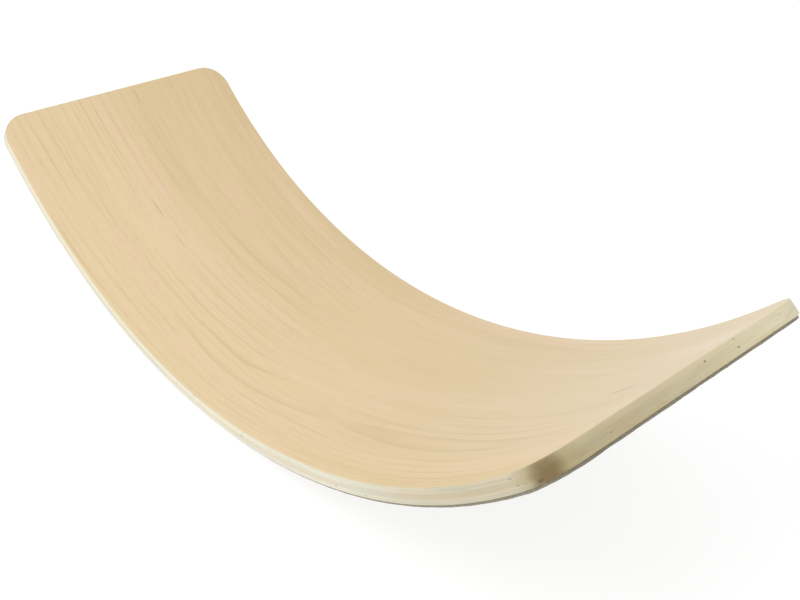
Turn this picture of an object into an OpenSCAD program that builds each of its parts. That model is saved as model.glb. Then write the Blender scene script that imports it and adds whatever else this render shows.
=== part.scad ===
// A rocker board: nine veneers pressed and glued over a mould into one curved
// plywood panel, with a felt pad stuck to the whole of its underside.
// Every layer is a band of a cylinder whose axis lies above the board along Y.
// Origin: the lowest point of the felt, in the middle of the board.
// X runs along the length, Y across the width, Z is up.

/* [Board] */
// Width across the board, mm
board_w = 300; // [240:1:360]
// Radius of the hollow upper face, mm
upper_r = 540; // [450:5:800]
// Angle at the bend axis from the middle of the board to each end, degrees
half_angle = 48; // [30:0.5:52]
// Radius of the four corners, seen square on to the face, mm
corner_r = 30; // [20:1:60]
// Radius worked on the upper and the lower edge all round the wood, mm
edge_r = 1.2; // [1:0.1:4]

/* [Veneers] */
// Thickness of one veneer, mm
veneer_t = 1.45; // [1.2:0.05:1.8]
// Thickness of the glue line between two veneers, mm
glue_t = 0.1; // [0.05:0.01:0.2]

/* [Felt] */
// Thickness of the felt pad, mm
felt_t = 2.5; // [1.5:0.1:4]
// Thickness of the adhesive film above the felt, mm
film_t = 0.1; // [0.05:0.01:0.2]
// How far the felt stops short of the edge of the wood, mm
felt_inset = 2; // [1.5:0.1:8]
// How far the adhesive film stops short of the edge of the felt, mm
film_setback = 1; // [0.5:0.1:3]

/* [Hidden] */
$fn = 96;
veneer_count = 9;
pitch = veneer_t + glue_t;
wood_t = veneer_count * veneer_t + (veneer_count - 1) * glue_t;
lower_r = upper_r + wood_t;
felt_r = lower_r + film_t;
floor_r = felt_r + felt_t;
mid_r = upper_r + wood_t / 2;
// The round of a cutter stands outside its tangent place by this share of its
// radius, so that it crosses the faces cleanly.
cut_gap = 0.008;
// How far the cutters reach beyond the board.
reach = 20;

face_color = [0.90, 0.80, 0.64];
long_grain_color = [0.90, 0.84, 0.70];
cross_grain_color = [0.80, 0.70, 0.52];
glue_color = [0.72, 0.62, 0.44];
film_color = [0.75, 0.75, 0.72];
felt_color = [0.42, 0.40, 0.38];

// Inner radius of the veneer with this place in the stack, 0 uppermost.
function veneer_r(place) = upper_r + place * pitch;

// Angle at the bend axis taken up by a length measured along the middle of the wood.
function arc_angle(length) = length / mid_r * 180 / PI;

// Brings a frame with its origin on the bend axis to the end of the board:
// there X points out of the end, and the wood lies straight below.
module at_end(side, angle) {
    translate([0, 0, floor_r])
        rotate([0, -side * angle, 0])
            mirror([side < 0 ? 1 : 0, 0, 0])
                children();
}

// The corner left outside a circle of this radius: X and Y point out of the corner.
module corner_waste(r) {
    centre = -r * (1 - cut_gap);
    translate([centre, centre])
        difference() {
            square(r + reach);
            circle(r);
        }
}

// Cross-section of the whole wood, X being the distance from the bend axis,
// with its four long edges rounded.
module wood_section() {
    difference() {
        translate([upper_r, -board_w / 2])
            square([wood_t, board_w]);
        for (side = [-1, 1])
            for (face = [-1, 1])
                translate([mid_r + face * wood_t / 2, side * board_w / 2])
                    scale([face, side])
                        corner_waste(edge_r);
    }
}

// Sweeps a cross-section round the bend axis from one end of the board to the other.
module bend(angle) {
    translate([0, 0, floor_r])
        rotate([90, 0, 0])
            rotate([0, 0, -90 - angle])
                rotate_extrude(angle = 2 * angle, $fn = 360)
                    children();
}

// Waste beyond the rounded corners of an outline of this width.
module corner_cutters(angle, width, r) {
    for (end = [-1, 1])
        for (side = [-1, 1])
            at_end(end, angle)
                translate([0, side * width / 2, -floor_r - reach])
                    mirror([0, side < 0 ? 1 : 0, 0])
                        linear_extrude(wood_t + 2 * reach)
                            corner_waste(r);
}

// Waste above and below the rounded edges across the two ends of the wood.
module end_edge_cutters() {
    for (end = [-1, 1])
        for (face = [-1, 1])
            at_end(end, half_angle)
                translate([0, 0, -mid_r - face * wood_t / 2])
                    mirror([0, 0, face > 0 ? 1 : 0])
                        rotate([90, 0, 0])
                            linear_extrude(board_w + reach, center = true)
                                corner_waste(edge_r);
}

// One layer of the wood between two distances from the bend axis.
module wood_layer(inner, thickness) {
    difference() {
        bend(half_angle)
            intersection() {
                wood_section();
                translate([inner, -board_w / 2])
                    square([thickness, board_w]);
            }
        corner_cutters(half_angle, board_w, corner_r);
        end_edge_cutters();
    }
}

// One layer below the wood, set back from the edge all round.
module under_layer(inner, thickness, inset) {
    angle = half_angle - arc_angle(inset);
    width = board_w - 2 * inset;
    difference() {
        bend(angle)
            translate([inner, -width / 2])
                square([thickness, width]);
        corner_cutters(angle, width, corner_r - inset);
    }
}

module veneer(place) {
    wood_layer(veneer_r(place), veneer_t);
}

module upper_face_veneer() {
    color(face_color) veneer(0);
}

module cross_veneer_1() {
    color(cross_grain_color) veneer(1);
}

module long_veneer_1() {
    color(long_grain_color) veneer(2);
}

module cross_veneer_2() {
    color(cross_grain_color) veneer(3);
}

module centre_veneer() {
    color(long_grain_color) veneer(4);
}

module cross_veneer_3() {
    color(cross_grain_color) veneer(5);
}

module long_veneer_2() {
    color(long_grain_color) veneer(6);
}

module cross_veneer_4() {
    color(cross_grain_color) veneer(7);
}

module lower_face_veneer() {
    color(face_color) veneer(8);
}

// The eight glue lines, one below each veneer but the last.
module glue_lines() {
    color(glue_color)
        for (place = [0 : veneer_count - 2])
            wood_layer(veneer_r(place) + veneer_t, glue_t);
}

module felt_adhesive() {
    color(film_color) under_layer(lower_r, film_t, felt_inset + film_setback);
}

module felt_pad() {
    color(felt_color) under_layer(felt_r, felt_t, felt_inset);
}

upper_face_veneer();
cross_veneer_1();
long_veneer_1();
cross_veneer_2();
centre_veneer();
cross_veneer_3();
long_veneer_2();
cross_veneer_4();
lower_face_veneer();
glue_lines();
felt_adhesive();
felt_pad();
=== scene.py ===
# A curved plywood balance board with a felt underside, dressed in Blender around
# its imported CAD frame. Metres, +Z up, X along the board, Y across it.
import math
from typing import NamedTuple

import bmesh
import bpy
from mathutils import Matrix, Vector, noise


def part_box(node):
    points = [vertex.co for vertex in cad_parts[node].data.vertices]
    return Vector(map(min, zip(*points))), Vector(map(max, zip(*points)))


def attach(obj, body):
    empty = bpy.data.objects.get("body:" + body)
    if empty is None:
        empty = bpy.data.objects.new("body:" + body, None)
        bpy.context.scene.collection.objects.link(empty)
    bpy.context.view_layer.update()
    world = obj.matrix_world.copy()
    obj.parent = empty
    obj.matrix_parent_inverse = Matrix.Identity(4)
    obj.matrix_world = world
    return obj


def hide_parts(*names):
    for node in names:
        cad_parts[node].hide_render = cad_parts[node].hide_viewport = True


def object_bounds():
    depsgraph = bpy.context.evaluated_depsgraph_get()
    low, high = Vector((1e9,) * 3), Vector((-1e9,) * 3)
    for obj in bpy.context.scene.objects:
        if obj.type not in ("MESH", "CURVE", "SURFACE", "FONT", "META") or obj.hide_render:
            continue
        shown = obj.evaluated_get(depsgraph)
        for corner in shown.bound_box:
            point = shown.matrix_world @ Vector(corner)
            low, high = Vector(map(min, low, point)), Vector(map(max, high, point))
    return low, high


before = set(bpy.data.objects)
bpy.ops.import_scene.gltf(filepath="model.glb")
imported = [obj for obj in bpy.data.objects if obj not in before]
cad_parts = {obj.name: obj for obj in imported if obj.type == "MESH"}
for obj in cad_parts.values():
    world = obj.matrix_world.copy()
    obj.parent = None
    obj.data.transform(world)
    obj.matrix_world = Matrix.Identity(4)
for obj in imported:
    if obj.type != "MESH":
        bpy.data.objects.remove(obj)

CAD_LOW, CAD_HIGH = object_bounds()
MM = 0.001

# --------------------------------------------------------------- measures from the frame


def lowest(node):
    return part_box(node)[0].z


def bend_of(node):
    """Radius of a layer's lower face, height of its axis and the angle to its end."""
    corners = [v.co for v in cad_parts[node].data.vertices]
    tip = max(corners, key=lambda co: co.x)
    rise = tip.z - lowest(node)
    radius = (tip.x ** 2 + rise ** 2) / (2 * rise)
    return radius, lowest(node) + radius, math.asin(tip.x / radius)


VENEERS = (
    "upper_face_veneer", "cross_veneer_1", "long_veneer_1", "cross_veneer_2",
    "centre_veneer", "cross_veneer_3", "long_veneer_2", "cross_veneer_4",
    "lower_face_veneer",
)
PITCH = (lowest("upper_face_veneer") - lowest("lower_face_veneer")) / (len(VENEERS) - 1)
VENEER_T = lowest("glue_lines") - lowest("lower_face_veneer")
GLUE_T = PITCH - VENEER_T
WOOD_T = PITCH * len(VENEERS) - GLUE_T
FELT_T = lowest("felt_adhesive") - lowest("felt_pad")
FILM_T = lowest("lower_face_veneer") - lowest("felt_adhesive")

CENTRE_R, AXIS_Z, HALF_ANGLE = bend_of("centre_veneer")
VENEERS_DOWN_TO_CENTRE = (len(VENEERS) + 1) / 2
UPPER_R = CENTRE_R - VENEERS_DOWN_TO_CENTRE * PITCH + GLUE_T
MID_R = UPPER_R + WOOD_T / 2
HALF_LENGTH = HALF_ANGLE * MID_R
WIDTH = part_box("centre_veneer")[1].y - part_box("centre_veneer")[0].y
FELT_INSET = (WIDTH - (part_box("felt_pad")[1].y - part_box("felt_pad")[0].y)) / 2
FILM_INSET = (WIDTH - (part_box("felt_adhesive")[1].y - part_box("felt_adhesive")[0].y)) / 2

# The rounds of the CAD model, and the softer one of the felt's cut edge.
CORNER_R = 30 * MM
EDGE_R = 1.2 * MM
FELT_EDGE_R = 0.7 * MM

# --------------------------------------------------------------- layers of the board

CORNER_STEPS = 12
EDGE_STEPS = 8
SHARP_ANGLE = math.radians(28)
# A level of the rounded edge this close to a layer's own face is left out.
LEAST_STEP = 0.02 * MM
# Material slots of a layer.
UPPER_SIDE, EDGE_SIDE, LOWER_SIDE = range(3)


def columns(radius, inset, along_steps):
    """Angle and half width of each row of points across a layer, end to end."""
    turn_r = CORNER_R - inset
    end = []
    for i in range(CORNER_STEPS + 1):
        turn = math.radians(90) * (1 - i / CORNER_STEPS)
        back = CORNER_R - turn_r * math.cos(turn)
        angle = HALF_ANGLE - math.asin(back / radius)
        half_width = WIDTH / 2 - CORNER_R + turn_r * math.sin(turn)
        end.append((angle, half_width))
    straight, full_width = end[0]
    middle = [
        (straight * (2 * i / along_steps - 1), full_width) for i in range(1, along_steps)
    ]
    start = [(-angle, half_width) for angle, half_width in reversed(end)]
    return start + middle + end


def bent(radius, angle, across):
    """A point at this distance from the bend axis, angle from the middle and place
    across the board."""
    return Vector((
        radius * math.sin(angle), across, AXIS_Z - radius * math.cos(angle)
    ))


def ring_points(depth, inset, steps):
    """Rows of points on one level of a layer; depth is below the upper face."""
    along_steps, across_steps = steps
    radius = UPPER_R + depth
    rows = []
    for angle, half_width in columns(radius, inset, along_steps):
        row = []
        for j in range(across_steps + 1):
            row.append(bent(radius, angle, half_width * (2 * j / across_steps - 1)))
        rows.append(row)
    return rows


def rim(rows):
    """The points round the edge of a level, anticlockwise seen from above."""
    last = len(rows[0]) - 1
    near = [row[0] for row in rows]
    right = rows[-1][1:last]
    far = [row[last] for row in reversed(rows)]
    left = list(reversed(rows[0][1:last]))
    return near + right + far + left


def layer_mesh(name, levels, steps):
    """A closed layer through a list of levels, each (depth, inset), top one first.
    steps is the number of faces along and across the board."""
    points = []
    faces = []
    kinds = []

    def add_rows(depth, inset):
        rows = ring_points(depth, inset, steps)
        start = len(points)
        points.extend(p for row in rows for p in row)
        width = len(rows[0])
        return [[start + i * width + j for j in range(width)] for i in range(len(rows))]

    def add_face(rows, upward):
        for i in range(len(rows) - 1):
            for j in range(len(rows[0]) - 1):
                quad = (rows[i][j], rows[i + 1][j], rows[i + 1][j + 1], rows[i][j + 1])
                faces.append(quad if upward else quad[::-1])
                kinds.append(UPPER_SIDE if upward else LOWER_SIDE)

    top = add_rows(*levels[0])
    add_face(top, True)
    above = rim(top)
    for depth, inset in levels[1:-1]:
        start = len(points)
        loop = rim(ring_points(depth, inset, steps))
        points.extend(loop)
        here = list(range(start, start + len(loop)))
        add_wall(faces, kinds, above, here)
        above = here
    bottom = add_rows(*levels[-1])
    add_wall(faces, kinds, above, rim(bottom))
    add_face(bottom, False)

    mesh = bpy.data.meshes.new(name)
    mesh.from_pydata(points, [], faces)
    mesh.polygons.foreach_set("material_index", kinds)
    mesh.shade_smooth()
    mesh.set_sharp_from_angle(angle=SHARP_ANGLE)
    mesh.update()
    return mesh


def add_wall(faces, kinds, above, below):
    """Faces of the edge, between the rims of two levels."""
    count = len(above)
    for i in range(count):
        k = (i + 1) % count
        faces.append((above[i], below[i], below[k], above[k]))
        kinds.append(EDGE_SIDE)


def edge_inset(depth, thickness, radius):
    """How far a rounded edge pulls in at this depth in a panel of this thickness."""
    reach = max(radius - depth, depth - (thickness - radius), 0.0)
    return radius - math.sqrt(max(radius ** 2 - reach ** 2, 0.0))


def levels_between(top, bottom):
    """Levels of a wooden layer, close together where the edge is rounded."""
    turns = [math.radians(90) * i / EDGE_STEPS for i in range(EDGE_STEPS + 1)]
    upper = [EDGE_R * (1 - math.cos(turn)) for turn in turns]
    lower = [WOOD_T - depth for depth in upper]
    first, last = top + LEAST_STEP, bottom - LEAST_STEP
    inner = sorted(depth for depth in upper + lower if first < depth < last)
    depths = [top] + inner + [bottom]
    return [(depth, edge_inset(depth, WOOD_T, EDGE_R)) for depth in depths]


def add_piece(mesh, materials, nodes):
    """Shows a mesh in place of CAD nodes and makes it ride on the board. materials
    are those of its upper face, its edge and its lower face."""
    piece = bpy.data.objects.new("shown_" + mesh.name, mesh)
    bpy.context.scene.collection.objects.link(piece)
    for material in materials:
        mesh.materials.append(material)
    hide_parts(*nodes)
    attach(piece, "root")


# --------------------------------------------------------------- material graphs

COAT_ROUGHNESS = 0.28
SHEEN_ROUGHNESS = 0.5

# Numbers of the outputs used of Blender's coordinate and geometry nodes, and of the
# inputs and the output of its mix node when it mixes colours.
OBJECT_NORMAL = 1
OBJECT_PLACE = 3
BACK_SIDE = 6
MIX_SHARE, MIX_FIRST, MIX_SECOND = 0, 6, 7
MIXED = 2


class Graph:
    """Builds a material's nodes; every call returns a socket that the next can take."""

    def __init__(self, name):
        self.material = bpy.data.materials.new(name)
        self.material.use_nodes = True
        self.nodes = self.material.node_tree.nodes
        self.links = self.material.node_tree.links
        self.nodes.clear()
        self.out = self.nodes.new("ShaderNodeOutputMaterial")

    def feed(self, node, inputs):
        """Links each input to a socket, or gives it a plain value."""
        for key, value in inputs.items():
            if isinstance(value, bpy.types.NodeSocket):
                self.links.new(value, node.inputs[key])
            else:
                node.inputs[key].default_value = value

    def add(self, kind, inputs=None, output=0, **settings):
        made = self.nodes.new("ShaderNode" + kind)
        for key, value in settings.items():
            setattr(made, key, value)
        self.feed(made, inputs or {})
        return made.outputs[output]

    def math(self, operation, *values):
        return self.add("Math", dict(enumerate(values)), operation=operation)

    def times(self, first, second):
        return self.math("MULTIPLY", first, second)

    def less(self, value, share, by):
        """The value, cut down by this share where by is 1 and not at all where it is 0."""
        return self.times(value, self.math("MULTIPLY_ADD", by, -share, 1.0))

    def vector(self, x, y, z):
        return self.add("CombineXYZ", {0: x, 1: y, 2: z})

    def parts(self, vector):
        """The three parts of a vector."""
        split = self.nodes.new("ShaderNodeSeparateXYZ")
        self.links.new(vector, split.inputs[0])
        return split.outputs

    def noise(self, place, detail=2.0, rough=0.5):
        inputs = {"Vector": place, "Scale": 1.0, "Detail": detail, "Roughness": rough}
        return self.add("TexNoise", inputs)

    def step(self, value, low, high, to_low=0.0, to_high=1.0):
        """Rises smoothly from to_low to to_high as the value goes from low to high."""
        inputs = {"Value": value, 1: low, 2: high, 3: to_low, 4: to_high}
        return self.add("MapRange", inputs, interpolation_type="SMOOTHSTEP")

    def mix(self, share, first, second, blend="MIX"):
        """Takes the share of the second colour and the rest of the first."""
        made = self.nodes.new("ShaderNodeMix")
        made.data_type = "RGBA"
        made.blend_type = blend
        made.clamp_factor = True
        self.feed(made, {MIX_SHARE: share, MIX_FIRST: first, MIX_SECOND: second})
        return made.outputs[MIXED]

    def finish(self, color, rough, height, bump, coat=0.0, sheen=0.0):
        """Joins up the surface; bump is the depth of its relief in metres."""
        normal = self.add("Bump", {"Strength": 1.0, "Distance": bump, "Height": height})
        shader = self.add("BsdfPrincipled", {
            "Base Color": color, "Roughness": rough, "Normal": normal,
            "Coat Weight": coat, "Coat Roughness": COAT_ROUGHNESS,
            "Sheen Weight": sheen, "Sheen Roughness": SHEEN_ROUGHNESS,
        })
        self.links.new(shader, self.out.inputs["Surface"])
        return self.material


def rgb(red, green, blue):
    """A colour given as it looks on screen, 0 to 255, turned into light."""
    def light(value):
        v = value / 255
        return v / 12.92 if v <= 0.04045 else ((v + 0.055) / 1.055) ** 2.4
    return (light(red), light(green), light(blue), 1.0)


def bent_place(g):
    """Distance along the bend, across the board and below the upper face."""
    x, across, z = g.parts(g.add("TexCoord", output=OBJECT_PLACE))
    down = g.math("SUBTRACT", AXIS_Z, z)
    square = g.math("ADD", g.times(x, x), g.times(down, down))
    depth = g.math("SUBTRACT", g.math("SQRT", square), UPPER_R)
    along = g.times(g.math("ARCTAN2", x, down), MID_R)
    return along, across, depth


def scaled(g, place, scale, shift=0.0):
    """A noise place; scale is how many features there are in a metre along the
    board, across it and through it, and shift picks another part of the noise."""
    return g.vector(
        g.math("MULTIPLY_ADD", place[0], scale[0], shift),
        g.times(place[1], scale[1]),
        g.times(place[2], scale[2]),
    )


class Figure(NamedTuple):
    """A noise in a material: how many features there are in a metre along the board,
    across it and through it, which part of the noise is used, its detail and its
    roughness, the span of its values over which it comes to show, and how strongly
    it shows at the start and at the end of that span."""

    scale: tuple
    seed: float
    detail: float
    rough: float
    span: tuple = (0.3, 0.7)
    strength: tuple = (0.0, 1.0)


def grown(g, place, figure, seed=0.0):
    """The bare noise of a figure."""
    there = scaled(g, place, figure.scale, figure.seed + seed)
    return g.noise(there, figure.detail, figure.rough)


def shown(g, noise, figure):
    """How strongly a figure shows where its noise has this value."""
    return g.step(noise, *figure.span, *figure.strength)


def spot(g, place, centre, reach, lean=0.0, core=0.15):
    """1 in the middle of a mark and 0 beyond its reach. centre and reach are given
    along the board, across it and in depth; a reach of None has no limit. lean is
    how far the mark moves across the board for each metre along it, and core the
    share of the mark that is at full strength."""
    offsets = [g.math("SUBTRACT", place[i], centre[i]) for i in range(3)]
    offsets[1] = g.math("SUBTRACT", offsets[1], g.times(offsets[0], lean))
    total = 0.0
    for offset, limit in zip(offsets, reach):
        if limit is not None:
            share = g.math("DIVIDE", offset, limit)
            total = g.math("MULTIPLY_ADD", share, share, total)
    return g.step(total, core, 1.0, 1.0, 0.0)


def in_mm(*values):
    return tuple(None if value is None else value * MM for value in values)


# --------------------------------------------------------------- the two faces

# Shades of the face: its ground, the warmer right half, the cooler left end, the
# growth rings, the splits, and the arrises: painted highlights, on the long sides also
# sanding wear.
FACE_DEEP = rgb(223, 199, 154)
FACE_PALE = rgb(228, 206, 165)
RIGHT_TONE = rgb(212, 187, 138)
LEFT_TONE = rgb(243, 240, 233)
RING_TONE = rgb(187, 160, 116)
SPLIT_TONE = rgb(150, 116, 82)
SIDE_ARRIS_WEAR_AND_HIGHLIGHT = rgb(236, 226, 200)
END_ARRIS_HIGHLIGHT = rgb(247, 233, 196)
FACE_ROUGHNESS = (0.38, 0.46)
FACE_BUMP = 0.02 * MM
FACE_COAT = 0.25
# Depth of a split, as a multiple of the relief of the streaks.
SPLIT_DEPTH = 2

# Where these shades set in: the place where each starts, the place where it ends,
# and its strength at both if they aren't 0 and 1.
RIGHT_ALONG = (-0.45 * HALF_LENGTH, 1.05 * HALF_LENGTH)
RIGHT_ACROSS = (-0.42 * WIDTH, -0.02 * WIDTH, 0.5, 1.0)
LEFT_ALONG = (-0.8 * HALF_LENGTH, 0.7 * HALF_LENGTH, 1.0, 0.0)
LEFT_ACROSS = (-0.3 * WIDTH, 0.6 * WIDTH)
RINGS_ACROSS = (-0.15 * WIDTH, 0.5 * WIDTH, 1.0, 0.5)
SIDE_ARRIS_IN = (0.0, 3 * MM, 0.8, 0.0)
END_ARRIS_IN = (0.0, 3 * MM, 0.65, 0.0)
END_ARRIS_ACROSS = (-0.3 * WIDTH, 0.45 * WIDTH)

GROUND = Figure((1.3, 9, 0), 0.0, 3.0, 0.55)
SWAY = Figure((2.6, 6, 0), 4.0, 3.0, 0.5)
PATCHES = Figure((5, 16, 0), 8.0, 2.0, 0.5, (0.35, 0.65), (0.15, 1.0))

# The veneer was sliced almost along the tree's middle, so its growth rings run the
# length of the board, round a long arch that closes near mid length. Its axis
# drifts across the board; a second arch opens the other way near the right end,
# and its centre and reach are given along, across and in depth.
ARCH_AXIS = 46 * MM
ARCH_WIDTH = 20 * MM
# How much the arch narrows for each metre along the board.
ARCH_PITCH = 0.032
ARCH_DRIFT = 20 * MM
DRIFT_START = -60 * MM
DRIFT_END = 130 * MM
SECOND_ARCH = (400 * MM, -108 * MM, 0.0)
SECOND_REACH = (600 * MM, 52 * MM, None)
SECOND_DEPTH = 34 * MM
RING_SWAY = 16 * MM
RINGS_PER_METRE = 78
RING_START = -0.26
# The years differ by up to this many rings, over this many stretches in a metre.
RING_UNEVENNESS = 2.2
UNEVENNESS_SCALE = 30
RING_SHARPNESS = 7.0
RING_STRENGTH = 0.42

# Right of the middle the figure is quieter: the streaks and the rings lose these
# shares of their strength there.
QUIET_PLACE = (130 * MM, 40 * MM, 0.0)
QUIET_REACH = (250 * MM, 105 * MM, None)
QUIET_CORE = 0.2
QUIET_STREAKS = 0.4
QUIET_RINGS = 0.8

# Streaks of a flat sliced veneer that follow the board, each with its colour.
FACE_STREAKS = (
    (Figure((3.1, 22, 0), 0.0, 3.0, 0.6, (0.44, 0.70), (0.0, 0.60)), rgb(229, 202, 168)),
    (Figure((3.5, 70, 0), 3.0, 3.0, 0.6, (0.48, 0.70), (0.0, 0.26)), rgb(231, 200, 166)),
    (Figure((2.2, 80, 0), 6.0, 3.0, 0.6, (0.47, 0.74), (0.0, 0.22)), rgb(206, 183, 139)),
    (Figure((9.0, 320, 0), 9.0, 3.0, 0.6, (0.49, 0.70), (0.0, 0.28)), rgb(202, 177, 134)),
    (Figure((75, 850, 0), 12.0, 3.0, 0.6, (0.52, 0.75), (0.0, 0.34)), rgb(194, 168, 125)),
)

# Splits and mineral streaks in the upper veneer: place along and across the board,
# half length, half width, lean, and how dark, in millimetres but the last two.
FACE_SPLITS = (
    (-443, 23, 14, 0.45, -0.03, 0.7),
    (-290, -30.5, 20, 0.5, -0.02, 0.7),
    (-236, -32.5, 24, 0.5, -0.03, 0.4),
    (391, 2.5, 17, 2.0, 0.28, 0.75),
    (-120, 62, 11, 0.35, 0.02, 0.3),
    (90, -84, 9, 0.35, -0.03, 0.3),
    (215, 48, 12, 0.35, 0.02, 0.3),
)


def ground_color(g, place, seed):
    """The tone of the bare veneer, warmer to the right and cooler to the far left."""
    ground = shown(g, grown(g, place, GROUND, seed), GROUND)
    color = g.mix(ground, FACE_DEEP, FACE_PALE)
    right = g.times(g.step(place[0], *RIGHT_ALONG), g.step(place[1], *RIGHT_ACROSS))
    color = g.mix(right, color, RIGHT_TONE)
    left = g.times(g.step(place[0], *LEFT_ALONG), g.step(place[1], *LEFT_ACROSS))
    return g.mix(left, color, LEFT_TONE, "MULTIPLY")


def growth_rings(g, place, seed):
    """Thin dark lines where one year's growth of the tree met the next."""
    drift = g.step(place[0], DRIFT_START, DRIFT_END, 0.0, ARCH_DRIFT)
    off_axis = g.math("SUBTRACT", g.math("SUBTRACT", place[1], ARCH_AXIS), drift)
    square = g.math("MULTIPLY_ADD", off_axis, off_axis, ARCH_WIDTH ** 2)
    growth = g.math("MULTIPLY_ADD", place[0], ARCH_PITCH, g.math("SQRT", square))
    growth = g.math("MULTIPLY_ADD", grown(g, place, SWAY, seed), RING_SWAY, growth)
    second = spot(g, place, SECOND_ARCH, SECOND_REACH, core=0.0)
    growth = g.math("MULTIPLY_ADD", second, -SECOND_DEPTH, growth)
    uneven = g.noise(g.vector(g.times(growth, UNEVENNESS_SCALE), seed, 0.0), 1.0)
    start = g.math("MULTIPLY_ADD", uneven, RING_UNEVENNESS, RING_START)
    year = g.math("MULTIPLY_ADD", growth, RINGS_PER_METRE, start)
    ring = g.math("POWER", g.math("FRACT", year), RING_SHARPNESS)
    ring = g.times(ring, g.step(place[1], *RINGS_ACROSS))
    return g.times(ring, shown(g, grown(g, place, PATCHES, seed), PATCHES))


def worn_and_highlit_arrises(g, place, color):
    """The face is paler along its long sides towards the right, worn by the sander and
    with a painted highlight, and a painted highlight brightens the far half of its right
    end."""
    # Sanding wear and a painted highlight along the long arrises, towards the right.
    from_side = g.math("SUBTRACT", WIDTH / 2, g.math("ABSOLUTE", place[1]))
    pale = g.times(g.step(from_side, *SIDE_ARRIS_IN), g.step(place[0], *RIGHT_ALONG))
    color = g.mix(pale, color, SIDE_ARRIS_WEAR_AND_HIGHLIGHT)
    # Painted highlight along the far half of the right end's arris.
    from_end = g.math("SUBTRACT", HALF_LENGTH, place[0])
    painted_highlight = g.times(g.step(from_end, *END_ARRIS_IN), g.step(place[1], *END_ARRIS_ACROSS))
    return g.mix(painted_highlight, color, END_ARRIS_HIGHLIGHT)


def face_material(name, seed, splits=()):
    """Lacquered beech veneer, flat sliced, with its grain along the board."""
    g = Graph(name)
    place = bent_place(g)
    color = ground_color(g, place, seed)
    height = 0.0
    quiet = spot(g, place, QUIET_PLACE, QUIET_REACH, core=QUIET_CORE)
    for figure, tone in FACE_STREAKS:
        streak = shown(g, grown(g, place, figure, seed), figure)
        streak = g.less(streak, QUIET_STREAKS, quiet)
        color = g.mix(streak, color, tone)
        height = g.math("SUBTRACT", height, streak)

    rings = g.less(growth_rings(g, place, seed), QUIET_RINGS, quiet)
    color = g.mix(g.times(rings, RING_STRENGTH), color, RING_TONE)
    for along, across, half_long, half_wide, lean, strength in splits:
        centre = in_mm(along, across, 0)
        split = spot(g, place, centre, in_mm(half_long, half_wide, None), lean)
        color = g.mix(g.times(split, strength), color, SPLIT_TONE)
        height = g.math("SUBTRACT", height, g.times(split, SPLIT_DEPTH * strength))
    color = worn_and_highlit_arrises(g, place, color)
    rough = g.step(rings, 0.0, 1.0, *FACE_ROUGHNESS)
    return g.finish(color, rough, height, FACE_BUMP, coat=FACE_COAT)


# --------------------------------------------------------------- the edge

# A pale and a tan veneer as they look on screen, each with its deeper streaks.
EDGE_PALE = (230, 225, 205)
EDGE_PALE_DEEP = (218, 211, 189)
EDGE_TAN = (221, 210, 185)
EDGE_TAN_DEEP = (208, 195, 167)

# What lies over them: grey blotches, pores, a few deep pits, and on the ends the
# deeper and paler streaks of the end grain, near and far, and its stains.
BLOTCH_TONE = rgb(205, 207, 188)
PORE_TONE = rgb(188, 172, 134)
PIT_TONE = rgb(128, 112, 78)
END_NEAR = rgb(186, 174, 136), rgb(199, 187, 148)
END_FAR = rgb(216, 205, 168), rgb(231, 222, 188)
STAIN_TONE = rgb(172, 159, 121)
END_STRENGTH = 0.85
PIT_STRENGTH = 0.75

# The arrises, the band below the upper one, and the lacquer runs along the foot.
WARM_ARRIS = rgb(213, 193, 154)
SIDE_BAND = rgb(250, 239, 208)
END_BAND = rgb(228, 215, 180)
RUN_TONE = rgb(210, 194, 140)

# Where these set in: start, end, and the strength at both if they aren't 0 and 1.
# The first goes by how squarely the surface faces the near or the far side.
SIDE_FACING = (0.15, 0.9, 1.0, 0.0)
END_GRAIN_ACROSS = (-0.45 * WIDTH, 0.35 * WIDTH)
SIDE_ALONG = (-0.1 * HALF_LENGTH, 0.4 * HALF_LENGTH, 1.0, 0.0)
SIDE_BAND_DOWN = (5.0 * MM, 9.0 * MM, 0.42, 0.0)
WARM_ARRIS_DOWN = (0.3 * MM, 2.2 * MM, 1.0, 0.0)
END_BAND_DOWN = (1.6 * MM, 7.5 * MM, 0.7, 0.0)
END_BAND_ACROSS = (-0.45 * WIDTH, 0.0, 0.65, 1.0)
RUNS_DOWN = (WOOD_T - 4.0 * MM, WOOD_T - 1.0 * MM)

EDGE_STREAKS = Figure((16, 16, 1100), 0.0, 4.0, 0.62)
BLOTCHES = Figure((14, 14, 190), 3.0, 3.0, 0.6, (0.44, 0.66), (0.0, 0.75))
PORES = Figure((900, 900, 900), 0.0, 2.0, 0.6, (0.55, 0.8), (0.0, 0.25))
STAINS = Figure((9, 30, 190), 5.0, 4.0, 0.65, (0.5, 0.7), (0.0, 0.40))
RUNS = Figure((30, 30, 60), 8.0, 3.0, 0.6, (0.35, 0.65), (0.1, 0.55))
PITS = Figure((150, 150, 420), 7.0, 1.0, 0.5, (0.755, 0.79))
RAGGED = Figure((60, 60, 220), 1.0, 3.0, 0.6, (0.3, 0.65), (0.82, 0.98))

# Dark burnish left by the sander where it turned each corner: which end, which
# side, and how strong. It is strongest on one corner. It has an olive halo, and
# painted shade darkens the whole edge a little towards the strongest.
CORNER_BURNS = ((1, -1, 1.0), (1, 1, 0.12), (-1, -1, 0.25), (-1, 1, 0.15))
BURN_BACK = 10.5 * MM
BURN_ASIDE = 8.0 * MM
BURN_DEPTH = 9.0 * MM
BURN_REACH = 17 * MM
BURN_REACH_DOWN = 18 * MM
BURN_SHARPNESS = 1.5
BURN_COLOR = rgb(121, 99, 55)
HALO_REACH = 30 * MM
HALO_STRENGTH = 0.5
HALO_COLOR = rgb(158, 144, 92)
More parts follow.
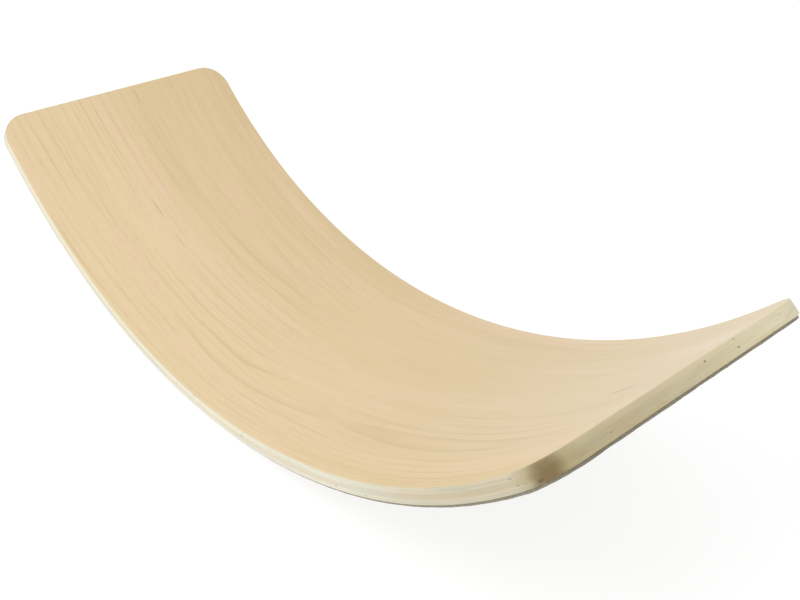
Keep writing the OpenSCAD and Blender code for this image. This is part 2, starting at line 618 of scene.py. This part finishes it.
# Painted shade: the edge darkens over this reach round the darkest corner, less on the ends.
PAINTED_SHADE_REACH = 260 * MM
PAINTED_SHADE_COLOR = rgb(229, 222, 211)
PAINTED_SHADE_LESS_ON_ENDS = 0.35

# Voids of the core veneers that show near the right end and near side: how far back
# from the end, across, depth, half length, half width, half height, in millimetres,
# and how dark.
EDGE_VOIDS = (
    (36.4, -150, 3.4, 3.4, 5, 0.55, 0.55),
    (32.3, -150, 8.7, 2.8, 5, 0.5, 0.6),
    (24.8, -150, 9.3, 2.4, 5, 0.5, 0.45),
    (15, -145.8, 11.2, 2.6, 4, 1.3, 0.9),
    (0, 15.3, 4.1, 5, 1.6, 1.0, 0.8),
    (0, 52.1, 2.0, 5, 1.2, 0.8, 0.55),
    (0, 52.4, 8.7, 5, 1.8, 1.0, 0.7),
)
VOID_TONE = rgb(96, 84, 50)

EDGE_ROUGHNESS = 0.44
EDGE_BUMP = 0.03 * MM
EDGE_COAT = 0.2
# Relief of the pores and of the pits, as multiples of the relief of the streaks.
PORE_DEPTH = 0.5
PIT_DEPTH = 3.0


def end_share(g):
    """1 on the two ends of the board and 0 on its long sides."""
    facing = g.parts(g.add("TexCoord", output=OBJECT_NORMAL))
    return g.step(g.math("ABSOLUTE", facing[1]), *SIDE_FACING)


def end_color(g, place, streak):
    """The ends show end grain, which drinks more lacquer and turns olive, and is
    paler on the far side."""
    pale = shown(g, streak, EDGE_STREAKS)
    near = g.mix(pale, *END_NEAR)
    far = g.mix(pale, *END_FAR)
    return g.mix(g.step(place[1], *END_GRAIN_ACROSS), near, far)


def burns_and_painted_shade(g, place, color, ends):
    """Darkens an edge colour with burns where the sander turned the corners, and
    paints shade more faintly for some way round the darkest of them."""
    darkest = (HALF_LENGTH, -WIDTH / 2, 0)
    # Painted shade, fading out round the darkest corner.
    wide = spot(g, place, darkest, (PAINTED_SHADE_REACH, PAINTED_SHADE_REACH, None), core=0.0)
    wide = g.less(wide, PAINTED_SHADE_LESS_ON_ENDS, ends)
    color = g.mix(wide, color, PAINTED_SHADE_COLOR, "MULTIPLY")
    ragged = shown(g, grown(g, place, RAGGED), RAGGED)
    for end, side, strength in CORNER_BURNS:
        along = end * (HALF_LENGTH - BURN_BACK)
        across = side * (WIDTH / 2 - BURN_ASIDE)
        corner = (along, across, BURN_DEPTH)
        halo = spot(g, place, corner, (HALO_REACH, HALO_REACH, None), core=0.0)
        color = g.mix(g.times(halo, HALO_STRENGTH * strength), color, HALO_COLOR)
        burn = spot(g, place, corner, (BURN_REACH, BURN_REACH, BURN_REACH_DOWN), core=0.0)
        burn = g.times(g.math("POWER", burn, BURN_SHARPNESS), ragged)
        color = g.mix(g.times(burn, strength), color, BURN_COLOR)
    return color


def side_arris(g, place, color, ends):
    """On the left half of the long sides the upper arris keeps the tone of the face,
    and a pale band runs below it."""
    left = g.times(g.step(place[0], *SIDE_ALONG), g.math("SUBTRACT", 1.0, ends))
    band = g.step(place[2], *SIDE_BAND_DOWN)
    color = g.mix(g.times(band, left), color, SIDE_BAND)
    warm = g.step(place[2], *WARM_ARRIS_DOWN)
    return g.mix(g.times(warm, left), color, WARM_ARRIS)


def end_arris(g, place, color, ends):
    """The ends are paler below their upper arris, and lacquer gathers in yellow
    runs along their foot."""
    pale = g.times(g.step(place[2], *END_BAND_DOWN), g.step(place[1], *END_BAND_ACROSS))
    color = g.mix(g.times(pale, ends), color, END_BAND)
    runs = shown(g, grown(g, place, RUNS), RUNS)
    runs = g.times(g.step(place[2], *RUNS_DOWN), runs)
    return g.mix(g.times(runs, ends), color, RUN_TONE)


def edge_voids(g, place, color):
    """Small voids of the core veneers that show at known places on the edge."""
    for back, across, depth, half_long, half_wide, half_high, strength in EDGE_VOIDS:
        centre = (HALF_LENGTH - back * MM, across * MM, depth * MM)
        void = spot(g, place, centre, in_mm(half_long, half_wide, half_high))
        color = g.mix(g.times(void, strength), color, VOID_TONE)
    return color


def between(first, second, share):
    return rgb(*(a + (b - a) * share for a, b in zip(first, second)))


def edge_material(name, seed, warmth):
    """Sanded and lacquered edge of a veneer. warmth is 0 for a pale veneer and 1
    for a tan one."""
    g = Graph(name)
    place = bent_place(g)
    ends = end_share(g)
    streak = grown(g, place, EDGE_STREAKS, seed)
    deep = between(EDGE_PALE_DEEP, EDGE_TAN_DEEP, warmth)
    pale = between(EDGE_PALE, EDGE_TAN, warmth)
    color = g.mix(shown(g, streak, EDGE_STREAKS), deep, pale)
    blotches = shown(g, grown(g, place, BLOTCHES), BLOTCHES)
    color = g.mix(blotches, color, BLOTCH_TONE)
    pores = grown(g, place, PORES, seed)
    color = g.mix(shown(g, pores, PORES), color, PORE_TONE)

    color = g.mix(g.times(ends, END_STRENGTH), color, end_color(g, place, streak))
    stains = shown(g, grown(g, place, STAINS), STAINS)
    color = g.mix(g.times(stains, ends), color, STAIN_TONE)
    color = side_arris(g, place, color, ends)
    color = end_arris(g, place, color, ends)
    # Burns near the corners, and painted shade round the darkest one.
    color = burns_and_painted_shade(g, place, color, ends)
    color = edge_voids(g, place, color)

    pits = shown(g, grown(g, place, PITS), PITS)
    color = g.mix(g.times(pits, PIT_STRENGTH), color, PIT_TONE)

    height = g.math("ADD", streak, g.times(pores, PORE_DEPTH))
    height = g.math("SUBTRACT", height, g.times(pits, PIT_DEPTH))
    return g.finish(color, EDGE_ROUGHNESS, height, EDGE_BUMP, coat=EDGE_COAT)


# --------------------------------------------------------------- glue, film and felt

GLUE_DEEP = rgb(203, 193, 165)
GLUE_PALE = rgb(216, 207, 182)
GLUE_TONE = Figure((60, 60, 600), 0.0, 2.0, 0.5)
GLUE_ROUGHNESS = 0.4
GLUE_COAT = 0.1
# The glue shows less of the pale end grain than the wood does.
GLUE_PALENESS = 0.8
FILM_DEEP = rgb(168, 160, 144)
FILM_PALE = rgb(190, 184, 170)
FILM_TONE = Figure((90, 90, 90), 0.0, 2.0, 0.5)
FILM_ROUGHNESS = 0.35
SMOOTH_BUMP = 0.01 * MM

FELT_DEEP = rgb(121, 114, 97)
FELT_PALE = rgb(166, 158, 136)
FELT_FIBRE = rgb(178, 171, 151)
FELT_CLOUD = rgb(129, 122, 104)
TANGLE = Figure((900, 900, 900), 0.0, 4.0, 0.7, (0.35, 0.7))
FIBRES = Figure((260, 2400, 900), 4.0, 3.0, 0.7, (0.5, 0.75), (0.0, 0.5))
FIBRE_BEND = Figure((120, 120, 120), 6.0, 2.0, 0.5)
FIBRE_BEND_REACH = 12 * MM
FIBRE_DEPTH = 0.6
CLOUDS = Figure((40, 40, 40), 2.0, 3.0, 0.6, (0.4, 0.7), (0.0, 0.4))
FELT_ROUGHNESS = 0.95
FELT_BUMP = 0.25 * MM
FELT_SHEEN = 0.35


def glue_material():
    """Cured glue, a shade darker than the wood and stained by it."""
    g = Graph("cured_glue")
    place = bent_place(g)
    ends = end_share(g)
    tone = grown(g, place, GLUE_TONE)
    color = g.mix(tone, GLUE_DEEP, GLUE_PALE)
    end = end_color(g, place, g.times(tone, GLUE_PALENESS))
    color = g.mix(g.times(ends, END_STRENGTH), color, end)
    # Burns near the corners, and painted shade round the darkest one, as on the edge.
    color = burns_and_painted_shade(g, place, color, ends)
    return g.finish(color, GLUE_ROUGHNESS, tone, SMOOTH_BUMP, coat=GLUE_COAT)


def film_material():
    """The thin adhesive film between wood and felt."""
    g = Graph("adhesive_film")
    place = bent_place(g)
    tone = grown(g, place, FILM_TONE)
    color = g.mix(tone, FILM_DEEP, FILM_PALE)
    return g.finish(color, FILM_ROUGHNESS, tone, SMOOTH_BUMP)


def felt_material():
    """Pressed wool felt: heathered grey with tangled fibres."""
    g = Graph("grey_felt")
    place = bent_place(g)
    tangle = grown(g, place, TANGLE)
    bend = grown(g, place, FIBRE_BEND)
    bent_along = g.math("MULTIPLY_ADD", bend, FIBRE_BEND_REACH, place[0])
    fibres = grown(g, (bent_along, place[1], place[2]), FIBRES)
    color = g.mix(shown(g, tangle, TANGLE), FELT_DEEP, FELT_PALE)
    color = g.mix(shown(g, fibres, FIBRES), color, FELT_FIBRE)
    color = g.mix(shown(g, grown(g, place, CLOUDS), CLOUDS), color, FELT_CLOUD)
    height = g.math("ADD", tangle, g.times(fibres, FIBRE_DEPTH))
    return g.finish(color, FELT_ROUGHNESS, height, FELT_BUMP, sheen=FELT_SHEEN)


# --------------------------------------------------------------- the pieces

# Faces along and across each piece. All layers of wood have the same number along,
# so that their facets meet.
WOOD_STEPS = 110
FACE_STEPS = (WOOD_STEPS, 24)
HIDDEN_STEPS = (WOOD_STEPS, 4)
FELT_STEPS = (300, 56)

# How far the felt's surface may move, the size of its swells and of its fray, and
# the share of its thickness next to the wood that stays still.
FELT_SOFTNESS = 0.22 * MM
FELT_WAVE = 11 * MM
FELT_FRAY = 4 * MM
FELT_STILL = 0.05
# Blender draws its vector noise anew in each run unless it is given a seed.
FELT_SEED = 11

UPPER_SEED = 1.0
LOWER_SEED = 23.0
EDGE_SEED_STEP = 3.7
CROSS_WARMTH = 0.25


def add_veneers():
    """The nine veneers, cross and long in turn, with a face veneer on each side. The
    middle three are tan, and the other cross veneers are slightly warm."""
    middle = len(VENEERS) // 2
    for place, node in enumerate(VENEERS):
        cross = place % 2 == 1
        warmth = 1.0 if abs(place - middle) <= 1 else CROSS_WARMTH * cross
        edge = edge_material("veneer_edge_" + node, EDGE_SEED_STEP * place, warmth)
        upper = lower = edge
        steps = HIDDEN_STEPS
        slot = "cross_veneer" if cross else "long_veneer"
        if node == "upper_face_veneer":
            upper = face_material("beech_face_upper", UPPER_SEED, FACE_SPLITS)
            steps, slot = FACE_STEPS, "upper_face"
        if node == "lower_face_veneer":
            lower = face_material("beech_face_lower", LOWER_SEED)
            steps, slot = FACE_STEPS, "lower_face"
        top = place * PITCH
        mesh = layer_mesh(node, levels_between(top, top + VENEER_T), steps)
        add_piece(mesh, [upper, edge, lower], [node])


def add_glue_lines():
    """One mesh of the eight glue lines between the veneers."""
    joined = bmesh.new()
    for place in range(len(VENEERS) - 1):
        top = place * PITCH + VENEER_T
        line = layer_mesh("glue_line", levels_between(top, top + GLUE_T), HIDDEN_STEPS)
        joined.from_mesh(line)
        bpy.data.meshes.remove(line)
    mesh = bpy.data.meshes.new("glue_lines")
    joined.to_mesh(mesh)
    joined.free()
    add_piece(mesh, [glue_material()] * 3, ["glue_lines"])


def add_film():
    levels = [(WOOD_T, FILM_INSET), (WOOD_T + FILM_T, FILM_INSET)]
    mesh = layer_mesh("felt_adhesive", levels, HIDDEN_STEPS)
    add_piece(mesh, [film_material()] * 3, ["felt_adhesive"])


def felt_levels():
    """Levels of the felt, whose edge is square at the wood and softly rounded below."""
    top = WOOD_T + FILM_T
    levels = [(top, FELT_INSET)]
    for i in range(EDGE_STEPS + 1):
        turn = math.radians(90) * i / EDGE_STEPS
        drop = FELT_T - FELT_EDGE_R * (1 - math.sin(turn))
        levels.append((top + drop, FELT_INSET + FELT_EDGE_R * (1 - math.cos(turn))))
    return levels


def roughen(mesh):
    """Lets the felt swell and thin a little, and frays its cut edge. The face on the
    wood stays where it is, and nothing comes nearer to the floor."""
    noise.seed_set(FELT_SEED)
    axis = Vector((0, 0, AXIS_Z))
    bond_r = UPPER_R + WOOD_T + FILM_T
    for vertex in mesh.vertices:
        inward = axis - vertex.co
        inward.y = 0
        below = (inward.length - bond_r) / FELT_T
        if below < FELT_STILL:
            continue
        swell = 0.5 + noise.noise(vertex.co / FELT_WAVE)
        fray = noise.noise_vector(vertex.co / FELT_FRAY)
        vertex.co += inward.normalized() * FELT_SOFTNESS * below * max(swell, 0)
        vertex.co.x += FELT_SOFTNESS * fray.x * below
        vertex.co.y += FELT_SOFTNESS * fray.y * below


def add_felt():
    mesh = layer_mesh("felt_pad", felt_levels(), FELT_STEPS)
    roughen(mesh)
    add_piece(mesh, [felt_material()] * 3, ["felt_pad"])


add_veneers()
add_glue_lines()
add_film()
add_felt()

# --------------------------------------------------------------- floor and light

FLOOR_SIZE = 12.0
FLOOR_DEEP = rgb(122, 122, 122)
FLOOR_PALE = rgb(126, 126, 126)
FLOOR_ROUGHNESS = 0.7
FLOOR_GLOW = 0.83
STUDIO_LIGHT = 0.80
KEY_PLACE = Vector((-0.3, -1.5, 2.1))
KEY_SIZE = 1.6
KEY_POWER = 24


def floor_material():
    """Pale and glowing a little, as a lit white sweep does. From below it can be
    looked through, so that the felt can be seen."""
    g = Graph("pale_floor")
    soft = g.noise(g.add("TexCoord", output=OBJECT_PLACE))
    g.finish(g.mix(soft, FLOOR_DEEP, FLOOR_PALE), FLOOR_ROUGHNESS, soft, 0.0)
    surface = g.out.inputs["Surface"]
    shader = surface.links[0].from_node
    g.feed(shader, {"Emission Color": (1, 1, 1, 1), "Emission Strength": FLOOR_GLOW})
    underneath = g.add("NewGeometry", output=BACK_SIDE)
    clear = g.add("BsdfTransparent")
    g.links.new(g.add("MixShader", {0: underneath, 1: shader.outputs[0], 2: clear}), surface)
    return g.material


def add_floor():
    half = FLOOR_SIZE / 2
    mesh = bpy.data.meshes.new("floor")
    corners = [(-half, -half, 0), (half, -half, 0), (half, half, 0), (-half, half, 0)]
    mesh.from_pydata(corners, [], [(0, 1, 2, 3)])
    mesh.materials.append(floor_material())
    floor = bpy.data.objects.new("floor", mesh)
    bpy.context.scene.collection.objects.link(floor)


def add_studio():
    """Soft light from all round; the camera itself sees plain white behind the floor."""
    world = bpy.data.worlds.new("studio")
    world.use_nodes = True
    nodes = world.node_tree.nodes
    links = world.node_tree.links
    rays = nodes.new("ShaderNodeLightPath")
    strength = nodes.new("ShaderNodeMapRange")
    strength.inputs["To Min"].default_value = STUDIO_LIGHT
    strength.inputs["To Max"].default_value = 1.0
    links.new(rays.outputs["Is Camera Ray"], strength.inputs["Value"])
    background = nodes["Background"]
    background.inputs["Color"].default_value = (1.0, 1.0, 1.0, 1.0)
    links.new(strength.outputs["Result"], background.inputs["Strength"])
    bpy.context.scene.world = world
    bpy.context.scene.view_settings.view_transform = "Standard"


def add_key_light():
    """One wide soft light over the near side, aimed at the middle of the board."""
    data = bpy.data.lights.new("key", "AREA")
    data.shape = "DISK"
    data.size = KEY_SIZE
    data.energy = KEY_POWER
    lamp = bpy.data.objects.new("key", data)
    lamp.location = KEY_PLACE
    lamp.rotation_mode = "QUATERNION"
    aim = Vector((0, 0, CAD_HIGH.z / 2)) - KEY_PLACE
    lamp.rotation_quaternion = aim.to_track_quat("-Z", "Y")
    bpy.context.scene.collection.objects.link(lamp)


add_floor()
add_studio()
add_key_light()

# --------------------------------------------------------------- camera

# The photograph is cropped, so its optical centre lies left of its middle. The
# focal length, and how far that centre lies right of the middle and below it, are
# shares of the picture's width.
CAMERA_PLACE = Vector((687.0, -522.0, 579.9)) * MM
CAMERA_LOOK = Vector((-0.67284, 0.53660, -0.50926))
CAMERA_ROLL = math.radians(-2.14)
FOCAL_LENGTH = 1.239
CENTRE_RIGHT = -0.06915
CENTRE_BELOW = 0.001
SENSOR_WIDTH = 36
NEAREST = 0.05
FARTHEST = 40


def add_camera():
    data = bpy.data.cameras.new("camera")
    data.sensor_width = SENSOR_WIDTH
    data.lens = FOCAL_LENGTH * SENSOR_WIDTH
    data.shift_x = -CENTRE_RIGHT
    data.shift_y = CENTRE_BELOW
    data.clip_start = NEAREST
    data.clip_end = FARTHEST
    camera = bpy.data.objects.new("camera", data)
    level = CAMERA_LOOK.to_track_quat("-Z", "Y").to_matrix().to_4x4()
    roll = Matrix.Rotation(CAMERA_ROLL, 4, "Z")
    camera.matrix_world = Matrix.Translation(CAMERA_PLACE) @ level @ roll
    bpy.context.scene.collection.objects.link(camera)
    bpy.context.scene.camera = camera


add_camera()
